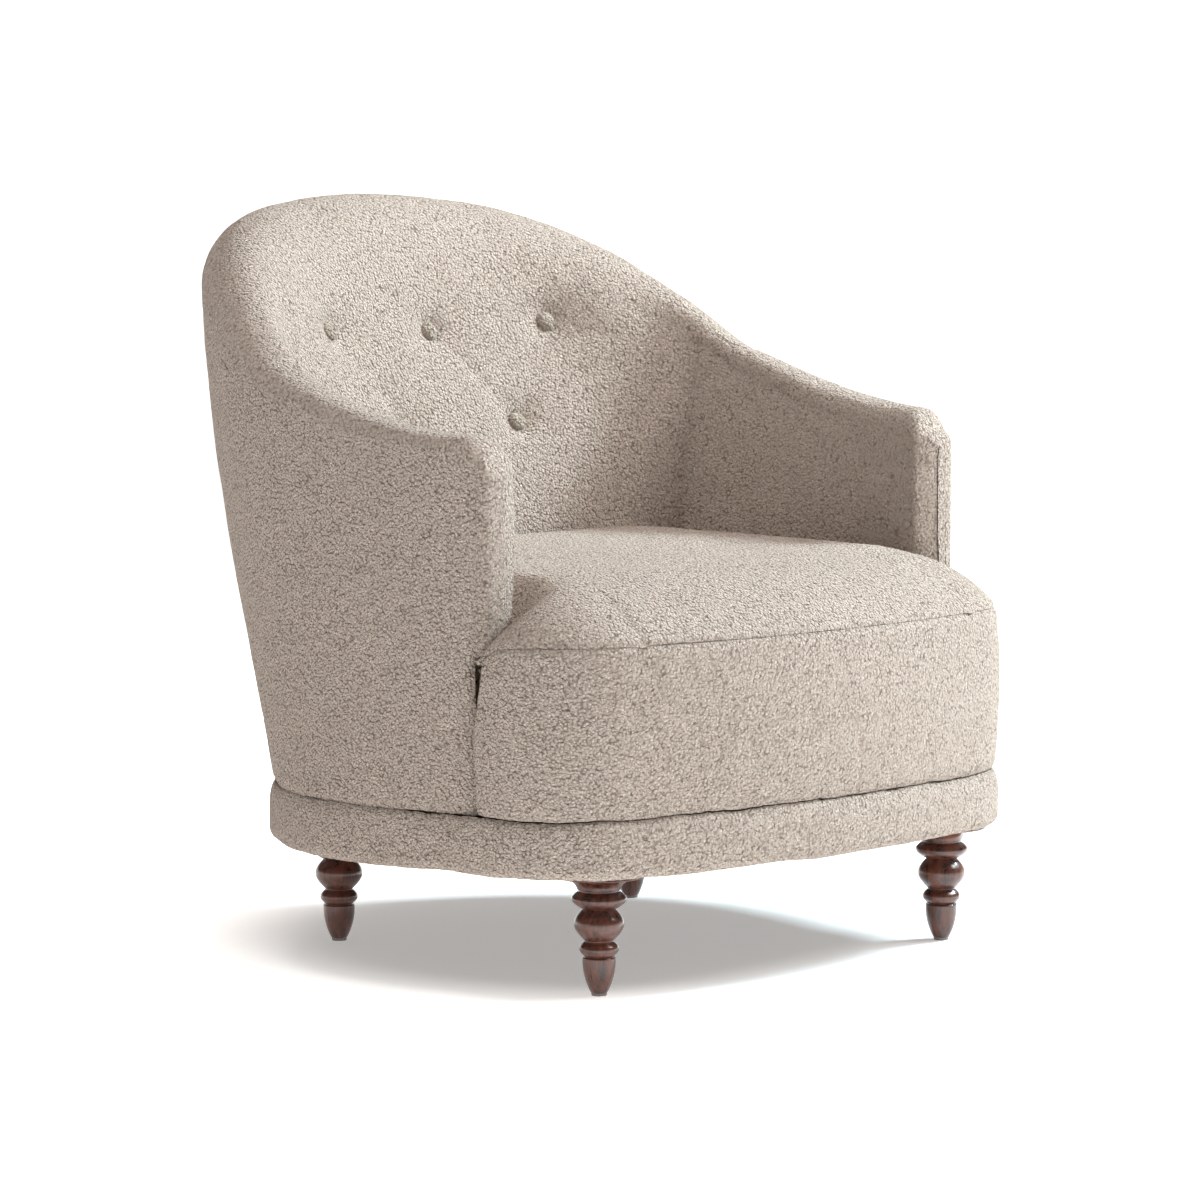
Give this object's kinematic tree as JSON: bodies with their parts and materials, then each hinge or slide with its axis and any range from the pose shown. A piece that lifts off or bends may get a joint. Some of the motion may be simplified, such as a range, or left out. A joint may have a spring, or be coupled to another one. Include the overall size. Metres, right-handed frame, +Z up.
{
  "type": "upholstered armchair",
  "caption": "Low barrel armchair in looped fabric: curved sloping back runs into slim arms, bowed tight seat, buttoned inside back, soft base band, turned tapering wood legs.",
  "frame": {"origin": "centre of the bounding box in plan, on the floor", "axes": "+Z up, -Y towards the front of the chair (the way a sitter faces), +X to the sitter's left"},
  "size_m": [0.8038, 0.8273, 0.828],
  "materials": {
    "boucle": "looped cream boucle",
    "button_boucle": "looped cream boucle",
    "stained_wood": "dark red-brown stain, glossy",
    "glide_nylon": "satin",
    "zinc_steel": "satin",
    "plywood": "raw birch ply",
    "timber": "raw sawn timber",
    "foam": "open-cell foam, unseen",
    "insulator": "needled felt",
    "cambric": "matt black"
  },
  "bodies": {
    "root": {"leg_front_left": "stained_wood", "leg_front_right": "stained_wood", "leg_rear_left": "stained_wood", "leg_rear_right": "stained_wood", "glide_front_left": "glide_nylon", "glide_front_right": "glide_nylon", "glide_rear_left": "glide_nylon", "glide_rear_right": "glide_nylon", "hanger_bolts": "zinc_steel", "tee_nuts": "zinc_steel", "base_ring": "plywood", "corner_blocks": "timber", "frame_posts": "timber", "seat_ring": "plywood", "arm_panel_left": "plywood", "arm_panel_right": "plywood", "back_panel": "plywood", "seat_springs": "zinc_steel", "spring_clips": "zinc_steel", "seat_insulator": "insulator", "seat_foam": "foam", "front_pad": "foam", "arm_foam_left": "foam", "arm_foam_right": "foam", "back_foam": "foam", "seat_top_cover": "boucle", "seat_boxing_cover": "boucle", "inside_arm_cover_left": "boucle", "inside_arm_cover_right": "boucle", "arm_facing_left": "boucle", "arm_facing_right": "boucle", "inside_back_cover": "boucle", "outside_arm_cover_left": "boucle", "outside_arm_cover_right": "boucle", "outside_back_cover": "boucle", "base_band_cover": "boucle", "dust_cover": "cambric", "dust_cover_staples": "zinc_steel", "tuft_button_1": "button_boucle", "tuft_button_2": "button_boucle", "tuft_button_3": "button_boucle", "tuft_button_4": "button_boucle", "tuft_button_5": "button_boucle"}
  },
  "joints": []
}
